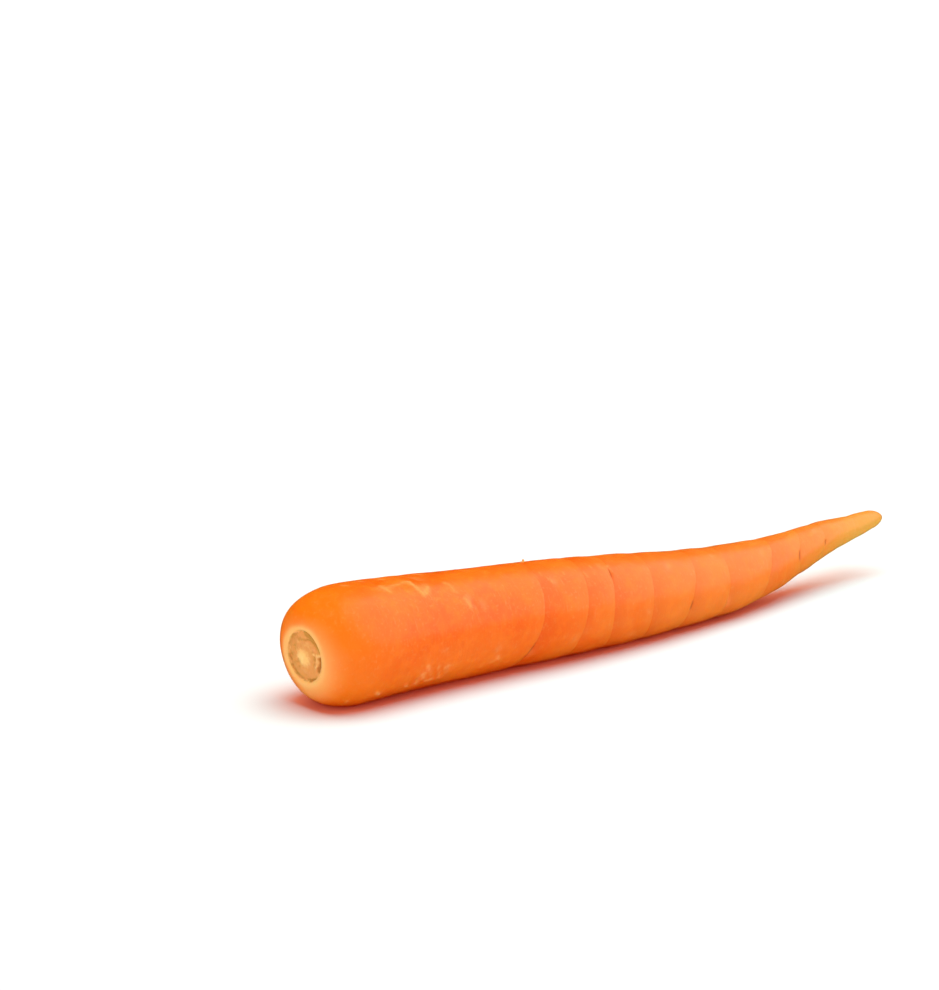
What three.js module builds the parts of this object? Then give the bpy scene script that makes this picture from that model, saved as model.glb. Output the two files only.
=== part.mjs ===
// A carrot root, harvested and washed, with its leaves trimmed off at the crown. It lies on its side.
// +X runs from the crown to the tip, +Z is up, and the origin is under the middle of the root, on the
// surface that it rests on. Lengths are in millimetres and angles in degrees. A station is a distance
// along the root from the crown's rim. An angle of 0 is the +Y side, 90 the top and 180 the -Y side.
//
// The root grew as one piece, so it is one solid: a turned profile, given its relief by formula and
// bent along its axis. The relief is the trimmed crown with its sunken scar, the constrictions that
// ring the body, and the small flat it rests on.

import * as THREE from "three";
import { mergeVertices } from "three/addons/utils/BufferGeometryUtils.js";

// ---- Driving dimensions ----

const LENGTH = 209.5;
const GREATEST_RADIUS = 15.25;
const SHOULDER_LENGTH = 13; // from the crown's rim to the greatest radius
const RIM_RADIUS = 7.4; // the pale rim round the trimmed crown
const SHOULDER_SHAPE = 0.9; // a power of 1 is a quarter of an ellipse; a lower one is fuller
const TIP_START = 204; // the tip is rounded off from here to its end

// The body's taper behind the shoulder, as [station, radius].
const TAPER = [
  [SHOULDER_LENGTH, GREATEST_RADIUS],
  [27, 14.9],
  [46, 14.1],
  [72, 13.25],
  [97, 12.1],
  [123, 10.35],
  [143, 9.1],
  [159, 7.4],
  [172, 5.95],
  [184, 4.6],
  [194, 3.55],
  [TIP_START, 2.6],
  [LENGTH, 1.9],
];

// The crown's face, as [radius, depth behind the rim]: a low stub where the leaf stalks were cut, a
// moat round it and the rim's inner wall.
const FACE = [
  [0, 0.5],
  [2.2, 0.6],
  [4.1, 0.8],
  [5.2, 1.1],
  [6.0, 1.5],
  [6.6, 0.35],
  [RIM_RADIUS, 0],
];
const SCAR_RADIUS = 6.6;
const SCAR_LOBES = [
  [0.045, 2, 125],
  [0.02, 1, 200],
]; // the scar's outline, as [share of the radius, lobes, angle of a lobe]
const MOAT_RADIUS = 5.9;
const MOAT_WIDTH = 0.6;
const MOAT_DEEP_SIDE = 190; // the angle at which the moat is deepest
const MOAT_DEEPER = 0.54;
const MOAT_RIPPLES = 5;
const MOAT_RIPPLE = 0.16;
const LUMP_PLACE = [0.8, -0.7]; // a pale lump stands off the stub's centre, towards +Y and down
const LUMP_RADIUS = 1.8;
const LUMP_HEIGHT = 0.4;

// The axis: how far it rises off the resting line, and how far it bends sideways, as [station, offset].
const LIFT = [
  [95, 0],
  [115, 0.2],
  [135, 0.6],
  [143, 1.0],
  [159, 3.4],
  [172, 6.3],
  [184, 9.25],
  [194, 10.95],
  [TIP_START, 12.75],
  [LENGTH, 13.35],
];
const BEND = [
  [0, 0],
  [27, 0.2],
  [60, -1.3],
  [85, -3.2],
  [110, -3.8],
  [143, -2.2],
  [172, 0.5],
  [LENGTH, 3.7],
];
const CROWN_DROOP = 0.8;
const DROOP_LENGTH = 16;
const PRESSED_DEPTH = 0.4; // the flat on which it rests is cut this far into the round body
const SECTION_STEP = 0.5; // half the length over which the axis's direction is measured

// The constrictions between which the body swells, as [station, depth, lean, bow, deepest angle]. A
// ring of them leans along the root with the sine of the angle, and bows with the cosine of twice it.
const CREASES = [
  [SHOULDER_LENGTH, 0, 0, 0, 0],
  [23, 0.06, 0.6, -0.4, 250],
  [34, 0.08, -0.5, 0.5, 40],
  [45, 0.08, 0.8, -0.3, 300],
  [55.5, 0.1, 1.2, 0.4, 120],
  [65.5, 0.3, 3.5, 0.7, 210],
  [80.8, 0.24, 2.0, -0.4, 172],
  [91.1, 0.28, 0.1, -1.5, 165],
  [104.7, 0.26, 0.3, -1.1, 190],
  [119.9, 0.28, 2.6, -1.2, 195],
  [133.9, 0.26, 1.2, -0.3, 185],
  [152.5, 0.3, 4.1, -1.2, 170],
  [168.2, 0.22, 0.8, -2.3, 165],
  [178.1, 0.18, 3.0, 0.5, 170],
  [188, 0.14, 1.0, 0, 300],
  [194.5, 0.12, 0.6, 0, 60],
  [TIP_START, 0, 0, 0, 0],
];
const CREASE_MEAN = 0.65; // a crease's share of its depth, on average round the body
const CREASE_SWING = 0.45; // and how much that grows towards its deepest angle
const RELIEF_START = 3; // the relief fades in over this distance outside the rim

// The body isn't quite round, as [share of the radius, lobes, turn of the lobes per millimetre].
const UNROUNDNESS = [
  [0.012, 2, 1 / 55],
  [0.008, 3, -1 / 34],
  [0.005, 1, 1 / 17],
];
const CROWN_OVAL = 0.05; // the crown is taller than wide, by this share of its radius
const CROWN_OVAL_ANGLE = 80;
const CROWN_OVAL_LENGTH = 5;

// The mesh.
const SIDES = 48;
const LONGEST_STEP = 2.6; // between two rings of the body, on average
const STEP_EASING = 0.6; // rings stand closer together near a crease by this share
const SHOULDER_RINGS = 8;
const TIP_RINGS = 5;
const FACE_RADII = [0, 1.4, 2.8, 4.1, 5.2, 6.0, 6.6, RIM_RADIUS];

// ---- Formulas ----

// A smooth curve through [position, value] points, which starts level and never overshoots a point.
function curveThrough(points) {
  const secants = points.slice(1).map(([x, y], i) => (y - points[i][1]) / (x - points[i][0]));
  const slopes = points.map((_, i) => {
    if (i === 0) return 0;
    if (i === secants.length) return secants[i - 1];
    const product = secants[i - 1] * secants[i];
    return product <= 0 ? 0 : (2 * product) / (secants[i - 1] + secants[i]);
  });
  return (x) => {
    const end = Math.max(1, points.findIndex(([px]) => px >= x));
    if (x <= points[0][0]) return points[0][1];
    if (x >= points[points.length - 1][0]) return points[points.length - 1][1];
    const [x0, y0] = points[end - 1];
    const [x1, y1] = points[end];
    const t = (x - x0) / (x1 - x0);
    const bulge = slopes[end - 1] * t * (1 - t) ** 2 - slopes[end] * t * t * (1 - t);
    return y0 + (y1 - y0) * t * t * (3 - 2 * t) + (x1 - x0) * bulge;
  };
}

const radians = THREE.MathUtils.degToRad;
const smoothstep = THREE.MathUtils.smoothstep;
const mix = THREE.MathUtils.lerp;
const taper = curveThrough(TAPER);
const faceDepth = curveThrough(FACE);
const lift = curveThrough(LIFT);
const bend = curveThrough(BEND);

// The centre of the section at a station.
function axisPoint(station) {
  const droop = CROWN_DROOP * Math.max(0, 1 - station / DROOP_LENGTH) ** 2;
  return new THREE.Vector3(station, bend(station), taper(station) - PRESSED_DEPTH + lift(station) - droop);
}

// How far the body is out of round, as a share of its radius.
function outOfRound(station, angle) {
  const ovalShare = CROWN_OVAL * Math.exp(-station / CROWN_OVAL_LENGTH);
  const oval = ovalShare * Math.cos(2 * (angle - radians(CROWN_OVAL_ANGLE)));
  return UNROUNDNESS.reduce(
    (sum, [share, lobes, twist]) => sum + share * Math.cos(lobes * angle + twist * station),
    oval,
  );
}

// The creases before and after a station, and the share of the way from one to the other.
function betweenCreases(station) {
  const found = CREASES.findIndex(([place]) => place > station);
  const after = found < 0 ? CREASES.length - 1 : Math.max(1, found);
  const [start, end] = [CREASES[after - 1], CREASES[after]];
  const share = THREE.MathUtils.clamp((station - start[0]) / (end[0] - start[0]), 0, 1);
  return { start, end, share };
}

function creaseStrength([, depth, , , deepest], angle) {
  return depth * (CREASE_MEAN + CREASE_SWING * Math.cos(angle - radians(deepest)));
}

// How far the skin stands out from the turned profile: it swells between each two creases.
function relief(station, angle, radius) {
  const { start, end, share } = betweenCreases(station);
  const depth = mix(creaseStrength(start, angle), creaseStrength(end, angle), share);
  return radius * outOfRound(station, angle) - depth * (2 * share - 1) ** 2;
}

// How far the lean and the bow of the creases carry the skin along the root.
function creaseWander(station, angle) {
  const { start, end, share } = betweenCreases(station);
  const eased = smoothstep(share, 0, 1);
  const lean = mix(start[2], end[2], eased);
  const bow = mix(start[3], end[3], eased);
  return lean * Math.sin(angle) + bow * Math.cos(2 * angle);
}

// How much the lobes of the crown's scar widen or narrow a ring of its face.
function faceScale(radius, angle) {
  const reach = smoothstep(radius, 1, 5) * (1 - smoothstep(radius, SCAR_RADIUS, RIM_RADIUS));
  return SCAR_LOBES.reduce(
    (sum, [share, lobes, peak]) => sum + reach * share * Math.cos(lobes * (angle - radians(peak))),
    1,
  );
}

// The depth of the crown's face, with its uneven moat and its lump.
function faceStation(radius, angle) {
  const moat = Math.exp(-(((radius - MOAT_RADIUS) / MOAT_WIDTH) ** 2));
  const deeper = MOAT_DEEPER * Math.cos(angle - radians(MOAT_DEEP_SIDE));
  const ripple = MOAT_RIPPLE * Math.sin(MOAT_RIPPLES * angle);
  const sideways = radius * Math.cos(angle) - LUMP_PLACE[0];
  const upwards = radius * Math.sin(angle) - LUMP_PLACE[1];
  const lump = LUMP_HEIGHT * Math.exp(-(sideways ** 2 + upwards ** 2) / LUMP_RADIUS ** 2);
  return faceDepth(radius) + moat * (deeper + ripple) - lump;
}

// ---- The profile, as [station, radius] from the middle of the crown's face to the tip ----

// The stations of the body's rings, with one ring on each crease.
function bodyStations() {
  return CREASES.slice(1).flatMap(([end], i) => {
    const gap = end - CREASES[i][0];
    const steps = Math.ceil(gap / LONGEST_STEP);
    return Array.from({ length: steps }, (_, j) => {
      const share = (j + 1) / steps;
      const eased = share - (STEP_EASING * Math.sin(2 * Math.PI * share)) / (2 * Math.PI);
      return end - gap * (1 - eased);
    });
  });
}

function profile() {
  const points = FACE_RADII.map((radius) => [faceDepth(radius), radius]);
  for (let i = 1; i <= SHOULDER_RINGS; i++) {
    const turn = (Math.PI / 2) * (i / SHOULDER_RINGS);
    const radius = RIM_RADIUS + (GREATEST_RADIUS - RIM_RADIUS) * Math.sin(turn) ** SHOULDER_SHAPE;
    points.push([SHOULDER_LENGTH * (1 - Math.cos(turn)), radius]);
  }
  for (const station of bodyStations()) points.push([station, taper(station)]);
  for (let i = 1; i <= TIP_RINGS; i++) {
    const turn = (Math.PI / 2) * (i / TIP_RINGS);
    const station = TIP_START + (LENGTH - TIP_START) * Math.sin(turn);
    points.push([station, i < TIP_RINGS ? taper(station) * Math.cos(turn) : 0]);
  }
  return points;
}

// ---- The solid ----

// Where a point of the turned profile lies on the finished root.
function finishedPoint(station, radius, angle) {
  const onFace = station < SHOULDER_LENGTH && radius <= RIM_RADIUS;
  if (onFace) {
    return sectionPoint(station, faceStation(radius, angle), radius * faceScale(radius, angle), angle);
  }
  const at = station + creaseWander(station, angle);
  const onShoulder = station < SHOULDER_LENGTH;
  const reliefShare = onShoulder ? smoothstep(radius, RIM_RADIUS, RIM_RADIUS + RELIEF_START) : 1;
  const turnedRadius = (radius * taper(at)) / taper(station);
  return sectionPoint(at, at, turnedRadius + reliefShare * relief(station, angle, radius), angle);
}

// A point at a radius and an angle round the axis. It is measured from the section at one station and
// may stand out of that section, at another.
function sectionPoint(section, at, radius, angle) {
  const along = axisPoint(section + SECTION_STEP).sub(axisPoint(section - SECTION_STEP)).normalize();
  const side = new THREE.Vector3(0, 0, 1).cross(along).normalize();
  const up = along.clone().cross(side);
  const point = axisPoint(section).addScaledVector(along, at - section);
  point.addScaledVector(side, radius * Math.cos(angle));
  point.addScaledVector(up, radius * Math.sin(angle));
  point.z = Math.max(0, point.z);
  return point;
}

function carrotGeometry() {
  const points = profile().map(([station, radius]) => new THREE.Vector2(radius, station));
  const turned = new THREE.LatheGeometry(points, SIDES);
  turned.deleteAttribute("normal");
  turned.deleteAttribute("uv");
  const geometry = mergeVertices(turned);
  const position = geometry.getAttribute("position");
  for (let i = 0; i < position.count; i++) {
    const up = position.getX(i);
    const side = position.getZ(i);
    const point = finishedPoint(position.getY(i), Math.hypot(up, side), Math.atan2(up, side));
    position.setXYZ(i, point.x, point.y, point.z);
  }
  geometry.computeBoundingBox();
  const middle = geometry.boundingBox.getCenter(new THREE.Vector3());
  geometry.translate(-middle.x, -middle.y, 0);
  geometry.computeVertexNormals();
  return geometry;
}

const skin = new THREE.MeshStandardMaterial({ color: 0xf57a28, roughness: 0.42, metalness: 0 });

const carrot = new THREE.Mesh(carrotGeometry(), skin);
carrot.name = "carrot";

const part = new THREE.Group();
part.add(carrot);

export default part;
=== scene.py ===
"""A trimmed carrot root on a pale floor: its skin, its colours, its hair roots and its stage."""

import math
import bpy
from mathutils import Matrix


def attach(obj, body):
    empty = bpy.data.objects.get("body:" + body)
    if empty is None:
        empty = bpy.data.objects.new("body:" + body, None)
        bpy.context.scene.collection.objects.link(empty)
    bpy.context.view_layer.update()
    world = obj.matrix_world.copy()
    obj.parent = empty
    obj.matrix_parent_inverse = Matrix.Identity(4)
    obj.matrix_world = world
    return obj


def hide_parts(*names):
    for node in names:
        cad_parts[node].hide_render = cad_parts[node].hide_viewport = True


bl_info = {
    "name": "Carrot",
    "version": (1, 0, 0),
    "blender": (4, 5, 0),
    "location": "View3D > Sidebar > Carrot",
    "description": "Builds a carrot root with a fine skin, its hair roots and a plain studio stage",
    "category": "Object",
}

import bmesh
import bpy
import numpy as np
from bpy.props import FloatProperty, FloatVectorProperty, IntProperty, PointerProperty
from mathutils import Matrix, Vector, noise

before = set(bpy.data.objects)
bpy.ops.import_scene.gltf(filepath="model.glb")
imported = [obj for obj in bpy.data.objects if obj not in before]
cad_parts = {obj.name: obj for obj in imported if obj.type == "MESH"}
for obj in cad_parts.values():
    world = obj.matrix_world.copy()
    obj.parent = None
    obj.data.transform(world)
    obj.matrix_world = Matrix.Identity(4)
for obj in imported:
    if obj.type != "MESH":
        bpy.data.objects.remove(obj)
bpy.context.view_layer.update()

MM = 0.001

# ---- The root's form, in millimetres, as in the frame's solid ----
# A station is a distance along the root from the crown's rim. An angle of 0 is the +Y side of the
# root, 90 degrees its top and 180 the -Y side.

LENGTH = 209.5
GREATEST_RADIUS = 15.25
SHOULDER_LENGTH = 13
SHOULDER_SHAPE = 0.9
RIM_RADIUS = 7.4
TIP_START = 204
TAPER = [
    (SHOULDER_LENGTH, GREATEST_RADIUS),
    (27, 14.9),
    (46, 14.1),
    (72, 13.25),
    (97, 12.1),
    (123, 10.35),
    (143, 9.1),
    (159, 7.4),
    (172, 5.95),
    (184, 4.6),
    (194, 3.55),
    (TIP_START, 2.6),
    (LENGTH, 1.9),
]
# The crown's face, as (radius, depth behind the rim).
FACE = [(0, 0.5), (2.2, 0.6), (4.1, 0.8), (5.2, 1.1), (6.0, 1.5), (6.6, 0.35), (RIM_RADIUS, 0)]
SCAR_RADIUS = 6.6
# The lobes of the scar's outline, as (share of the radius, number of lobes, angle of a peak), and
# the radii between which they grow.
SCAR_LOBES = [(0.045, 2, 125), (0.02, 1, 200)]
LOBES_GROW = (1, 5)
MOAT_RADIUS = 5.9
MOAT_WIDTH = 0.6
MOAT_DEEP_SIDE = 190
MOAT_DEEPER = 0.54
MOAT_RIPPLES = 5
MOAT_RIPPLE = 0.16
LUMP_PLACE = (0.8, -0.7)
LUMP_RADIUS = 1.8
LUMP_HEIGHT = 0.4
# How far the axis rises and how far it bends sideways, as (station, offset).
LIFT = [
    (95, 0),
    (115, 0.2),
    (135, 0.6),
    (143, 1.0),
    (159, 3.4),
    (172, 6.3),
    (184, 9.25),
    (194, 10.95),
    (TIP_START, 12.75),
    (LENGTH, 13.35),
]
BEND = [
    (0, 0),
    (27, 0.2),
    (60, -1.3),
    (85, -3.2),
    (110, -3.8),
    (143, -2.2),
    (172, 0.5),
    (LENGTH, 3.7),
]
CROWN_DROOP = 0.8
DROOP_LENGTH = 16
PRESSED_DEPTH = 0.4
SECTION_STEP = 0.5
# The constrictions between which the body swells, as (station, depth, lean, bow, deepest angle).
# Each ring leans along the root with the sine of the angle, and bows with the cosine of twice it.
CREASES = [
    (SHOULDER_LENGTH, 0, 0, 0, 0),
    (23, 0.06, 0.6, -0.4, 250),
    (34, 0.08, -0.5, 0.5, 40),
    (45, 0.08, 0.8, -0.3, 300),
    (55.5, 0.10, 1.2, 0.4, 120),
    (65.5, 0.30, 3.5, 0.7, 210),
    (80.8, 0.24, 2.0, -0.4, 172),
    (91.1, 0.28, 0.1, -1.5, 165),
    (104.7, 0.26, 0.3, -1.1, 190),
    (119.9, 0.28, 2.6, -1.2, 195),
    (133.9, 0.26, 1.2, -0.3, 185),
    (152.5, 0.30, 4.1, -1.2, 170),
    (168.2, 0.22, 0.8, -2.3, 165),
    (178.1, 0.18, 3.0, 0.5, 170),
    (188, 0.14, 1.0, 0, 300),
    (194.5, 0.12, 0.6, 0, 60),
    (TIP_START, 0, 0, 0, 0),
]
CREASE_MEAN = 0.65
CREASE_SWING = 0.45
RELIEF_START = 3
# How far the body is out of round, as (share of the radius, lobes, twist in radians per mm).
UNROUNDNESS = [(0.012, 2, 1 / 55), (0.008, 3, -1 / 34), (0.005, 1, 1 / 17)]
CROWN_OVAL = 0.05
CROWN_OVAL_ANGLE = 80
CROWN_OVAL_LENGTH = 5
# The scars of side roots in the two rows that face -Y, as (station, angle, length, tilt).
SIDE_ROOT_SCARS = [
    (20.6, 112, 2.2, 10),
    (32.1, 123, 2.8, -15),
    (34.2, 100, 4.6, 40),
    (43.6, 138, 2.4, -30),
    (47.4, 147, 3.0, 15),
    (70.4, 132, 2.6, 0),
    (88, 116, 2.0, 5),
    (111, 127, 2.6, -8),
    (129, 118, 1.8, 0),
    (148, 130, 2.2, 6),
    (175, 121, 1.6, 0),
    (15.5, 225, 2.4, 20),
    (27.3, 216, 2.8, -20),
    (35.9, 209, 3.2, 25),
    (52.2, 197, 2.6, -10),
    (66, 214, 2.2, 5),
    (79, 205, 2.6, 0),
    (99, 217, 2.0, -6),
    (134.3, 203, 3.4, 12),
    (143, 222, 1.8, 0),
    (161, 210, 2.2, -5),
]
REPEAT_SHIFT = 4.5
SCAR_DEPTH = 0.35
SCAR_WIDTH = 0.7
SCAR_LIP = 0.9

# ---- What the fine skin adds, in millimetres ----

FACE_RINGS = 46
SHOULDER_RINGS = 34
BODY_STEP = 0.72
CREASE_REACH = 1.0
CREASE_RINGS = (0.15, 0.32, 0.6)
TIP_RINGS = 14
MERGE_DISTANCE = 1e-5
RIM_MARGIN = 1e-4
LEAST_SQUARE = 1e-9
SEED_SHIFT = (17.3, 5.9, 9.1)
SWELL_LENGTH = 16.0
SWELL_SEED = 2
SWELL_HEIGHT = 0.16
PIT_LENGTH = 4.5
PIT_SEED = 7
PIT_HEIGHT = 0.1
FLECK_HEIGHT = 0.14
HOLLOW_DEPTH = 0.15
WRINKLE_LENGTH = 0.9
WRINKLE_SEED = 1
WRINKLE_HEIGHT = 0.03
WRINKLE_TURNS = 2.4
SCAR_SHARE = 0.5
TIP_SMOOTH = 2
GROOVE_SHARE = 0.2
GROOVE_WIDTH = 0.35
# Short cracks in the constrictions, as (number of the constriction, angle, half width in degrees).
CRACKS = [
    (12, 166, 12),
    (9, 190, 7),
    (7, 128, 8),
    (13, 168, 8),
    (5, 212, 12),
    (8, 20, 10),
    (10, 330, 12),
    (6, 300, 9),
]
CRACK_DEPTH = 0.16
# Pale raised curls and spots of dry skin, as (strength, half width, [(station, angle), ...]).
FLECKS = [
    (0.8, 0.85, [(30.2, 106), (30.3, 118), (30.7, 128), (32.4, 125), (34.1, 119)]),
    (0.4, 1.3, [(29.0, 106), (31.0, 119), (34.0, 116)]),
    (0.35, 1.4, [(18.5, 110), (22.0, 112), (26.0, 108)]),
    (0.35, 1.2, [(41.5, 141), (43.5, 149)]),
    (0.7, 0.7, [(19.8, 108), (20.3, 113), (20.6, 118)]),
    (0.55, 0.5, [(21.6, 111), (23.4, 108), (25.6, 109), (28.3, 104)]),
    (0.6, 0.6, [(39.6, 115), (40.4, 121), (40.4, 128)]),
    (0.75, 0.8, [(42.4, 139), (43.2, 147)]),
    (0.55, 0.5, [(68.9, 127), (69.6, 134)]),
    (0.6, 0.5, [(12.6, 90), (13.2, 95)]),
    (0.6, 0.5, [(17.2, 86), (17.8, 92)]),
    (0.6, 0.5, [(22.4, 88), (23.4, 93)]),
    (0.6, 0.5, [(36.5, 84), (37.2, 90)]),
    (0.5, 0.5, [(81.2, 123), (81.8, 131)]),
    (0.55, 0.5, [(91.2, 116), (91.6, 126)]),
    (0.6, 0.5, [(102.6, 183), (103.4, 188)]),
    (1.0, 0.6, [(13.4, 221), (14.5, 224), (15.4, 227)]),
    (0.7, 0.5, [(6.0, 235), (5.8, 231)]),
    (0.8, 0.45, [(23.8, 221), (24.6, 224)]),
    (0.85, 0.45, [(26.7, 223), (27.1, 219)]),
    (0.9, 0.45, [(27.4, 208), (28.8, 216)]),
    (0.85, 0.6, [(28.5, 200), (29.1, 205)]),
    (0.5, 0.5, [(29.8, 209), (30.8, 214)]),
    (0.85, 0.45, [(30.1, 221), (32.2, 221)]),
    (0.6, 0.5, [(32.3, 204), (32.5, 208)]),
    (0.4, 0.9, [(32.5, 187), (33.8, 186)]),
    (0.5, 0.5, [(34.3, 220), (35.0, 223)]),
    (0.75, 0.6, [(34.9, 207), (36.2, 206)]),
    (0.5, 0.5, [(48.7, 219), (49.3, 218)]),
    (0.6, 0.5, [(51.5, 215), (52.9, 212)]),
    (0.85, 0.5, [(52.9, 206), (53.5, 211)]),
    (0.5, 0.5, [(58.3, 221), (58.7, 220)]),
    (0.6, 0.5, [(26.0, 300), (26.6, 309), (28.4, 312)]),
    (0.7, 0.6, [(40.0, 5), (41.6, 10)]),
    (0.6, 0.5, [(57.0, 340), (57.4, 349)]),
    (0.6, 0.5, [(74.0, 28), (75.2, 33), (77.0, 31)]),
    (0.55, 0.5, [(96.0, 318), (96.6, 326)]),
    (0.5, 0.5, [(112.0, 15), (113.4, 18)]),
]
# The stubs of hair roots, as (station, angle, length, lean towards the tip in degrees).
ROOTLETS = [
    (69.8, 85, 0.85, 40),
    (71.2, 82, 0.6, -25),
    (34.2, 338, 0.9, 25),
    (101.5, 30, 0.8, 20),
    (127.0, 352, 0.7, -15),
]
ROOTLET_RADIUS = 0.5
ROOTLET_END = 0.2
ROOTLET_SIDES = 10
ROOTLET_CUTS = 4
ROOTLET_CURL = 0.35
ROOTLET_SINK = 0.25
ROOTLET_PALENESS = 0.7
# Loose rows of pale specks, as (number, first station, last station, first angle, last angle).
SPECKS = [
    (8, 22, 36, 226, 212),
    (8, 58, 96, 128, 106),
    (18, 20, 70, 318, 350),
]
SPECK_SEED = 5
SPECK_LEAN = 0.4
SPECK_TURN = 2.5
SPECK_WIDTH = 0.36
SPECK_STRENGTHS = (0.35, 0.85)
# Faint hollows, darkened with painted shade, as (strength, radius, station, angle).
HOLLOWS = [
    (0.5, 0.8, 31.9, 113),
    (0.5, 0.8, 41.2, 134),
    (0.45, 0.9, 44.9, 146),
    (0.45, 0.8, 19.0, 121),
    (0.4, 1.3, 58.0, 121),
    (0.35, 1.2, 53.6, 158),
    (0.4, 1.0, 71.0, 352),
    (0.4, 1.1, 38.0, 330),
]

# ---- The torn face of the cut crown, in millimetres ----

FACE_LEVEL = 0.7
FACE_EDGE = (6.5, 6.9)
STUB_EDGE = (1.2, 3.0)
# The noise that carries the grooves in and out, as (strength, size, seed).
WANDER = [(0.45, 1.6, 3), (0.25, 0.6, 4)]
CRUMB_SIZE = 0.5
CRUMB_SEED = 5
CRUMB_HEIGHT = 0.1
CLOD_SIZE = 1.3
CLOD_SEED = 6
CLOD_HEIGHT = 0.16
FIBRE_HEIGHT = 0.22
# The grooves and the strands, as (radius, half width, first angle, last angle, softness).
FACE_MARKS = {
    "side": (5.8, 0.6, 181, 210, 16),
    "upper": (6.2, 0.4, 112, 158, 10),
    "flap": (4.3, 0.35, 94, 158, 8),
    "corner": (6.0, 0.6, 98, 122, 8),
    "low": (6.1, 0.4, 236, 308, 12),
    "split": (3.6, 0.28, 168, 215, 16),
    "nick": (6.4, 0.3, 242, 260, 6),
    "spot": (4.3, 0.6, 62, 80, 10),
    "inner lump": (3.7, 0.5, 163, 167, 8),
    "outer lump": (5.7, 0.5, 168, 171, 5),
    "strand": (4.8, 0.45, 168, 208, 12),
    "upper strand": (2.9, 0.4, 95, 150, 25),
}
# How far the flap's groove moves outwards, and the angles between which it does.
FLAP_SLANT = 1.6
FLAP_ANGLES = (94, 156)
# The clods that break up two of the grooves, as (none, full).
BROKEN_MARKS = {"upper": (-0.4, 0.2), "low": (-0.4, 0.4)}
# What the marks add to the depth of the face, and to the shares of its colours.
MARK_DEPTHS = {"side": 0.35, "upper": 0.2, "flap": 0.2, "low": 0.15, "split": 0.1, "nick": 0.2}
# Painted shade in the crevices, from these marks.
MARK_CREVICE_SHADES = {"side": 1, "upper": 0.3, "flap": 0.25, "nick": 0.4}
MARK_SHADES = {
    "upper": 0.9,
    "flap": 0.7,
    "corner": 0.9,
    "low": 0.6,
    "split": 0.5,
    "nick": 1,
    "spot": 0.5,
    "inner lump": -0.7,
    "outer lump": -0.7,
}
MARK_FIBRES = {"strand": 1, "upper strand": 0.6, "inner lump": 1, "outer lump": 1}
# The olive-tan patch under the flap, and painted shade on the scar's left side and all round its
# edge, as (strength, first radius, full radius, first angle, last angle, softness).
FLAP_PATCH = (0.5, 4.6, 5.4, 98, 156, 12)
PAINTED_SHADE_ZONES = [(0.3, 2.8, 5.2, 310, 405, 25), (0.15, 5.4, 6.3, 0, 360, 1)]
# Painted shade in the face's low clods.
LOW_CLOD_SHADE = 0.35
LOW_CLOD_SHADE_FADE = (0.1, 0.9)
FIBRE_SHARE = 0.9
# Painted light on the face's raised clods.
PALE_CLODS = 0.4
PALE_CLODS_FADE = (0.1, 0.8)

# ---- Where the colours go, in millimetres and degrees ----

SHOULDER_SHARE = 0.9
SHOULDER_FADE = (1, 22)
# The fades of the tip's yellow, as (share, first station, last station), and its loss on top, which
# leaves the tip's underside paler as painted light.
TIP_FADES = [(0.2, 60, 140), (0.75, 155, 206)]
TIP_TOP_LOSS = 0.4
TIP_TOP_FADE = (150, 180)
# The pale ring round the cut, its wobble, and where it is narrower or wider, as (amount, first
# angle, last angle, softness).
RING_RADIUS = 7.5
RING_WOBBLE = 0.12
RING_WOBBLES = 5
RING_CHANGES = [(0.55, 45, 70, 30), (-0.35, 125, 165, 25)]
RING_SHARE = 0.9
RING_WIDTH = 0.8
# The pale halo beside the rim, widened and brightened on the lower -Y side as a painted sheen.
HALO_SHARE = 0.95
HALO_SHEEN_SIDE = 225
HALO_MEAN = 0.65
HALO_SWING = 0.55
HALO_LEAST = 0.2
HALO_WIDTH = 3
HALO_WIDER = 3.4
# The ragged edge of the scar's colour, as (size, lobes, phase).
RAGGED_EDGE = [(0.18, 4, 1.9), (0.12, 7, 0.4), (0.1, 12, 0)]
SCAR_FADE = (SCAR_RADIUS - 0.8, SCAR_RADIUS + 0.3)
PITH_WIDTH = 2.7
PITH_HEIGHT = 2.2
PITH_SHARE = 0.9
PITH_FIBRES = 0.55
SCAR_MARK_SHARE = 0.22
SCAR_MARK_WIDTH = 1.3
# Painted highlight before each constriction and painted shade after it: the least strength that
# shows, and their shares.
BAND_LEAST = 0.06
CREASE_HIGHLIGHT_SHARE = 2.4
CREASE_SHADE_SHARE = 3.0
CRACK_SHADE_SHARE = 0.6


# ---- The root's formulas ----


def curve_through(points):
    """A smooth curve through (position, value) points: it starts level and overshoots no point."""
    xs, ys = np.array(points, float).T
    secants = np.diff(ys) / np.diff(xs)
    slopes = np.zeros(len(xs))
    slopes[-1] = secants[-1]
    product = secants[:-1] * secants[1:]
    total = secants[:-1] + secants[1:]
    slopes[1:-1] = np.where(product > 0, 2 * product / np.where(total == 0, 1, total), 0)

    def value(x):
        x = np.clip(x, xs[0], xs[-1])
        i = np.clip(np.searchsorted(xs, x, side="right") - 1, 0, len(xs) - 2)
        span = xs[i + 1] - xs[i]
        t = (x - xs[i]) / span
        bulge = slopes[i] * t * (1 - t) ** 2 - slopes[i + 1] * t * t * (1 - t)
        return ys[i] + (ys[i + 1] - ys[i]) * t * t * (3 - 2 * t) + span * bulge

    return value


taper = curve_through(TAPER)
face_depth = curve_through(FACE)
lift = curve_through(LIFT)
bend = curve_through(BEND)


def smoothstep(x, low, high):
    t = np.clip((x - low) / (high - low), 0, 1)
    return t * t * (3 - 2 * t)


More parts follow.
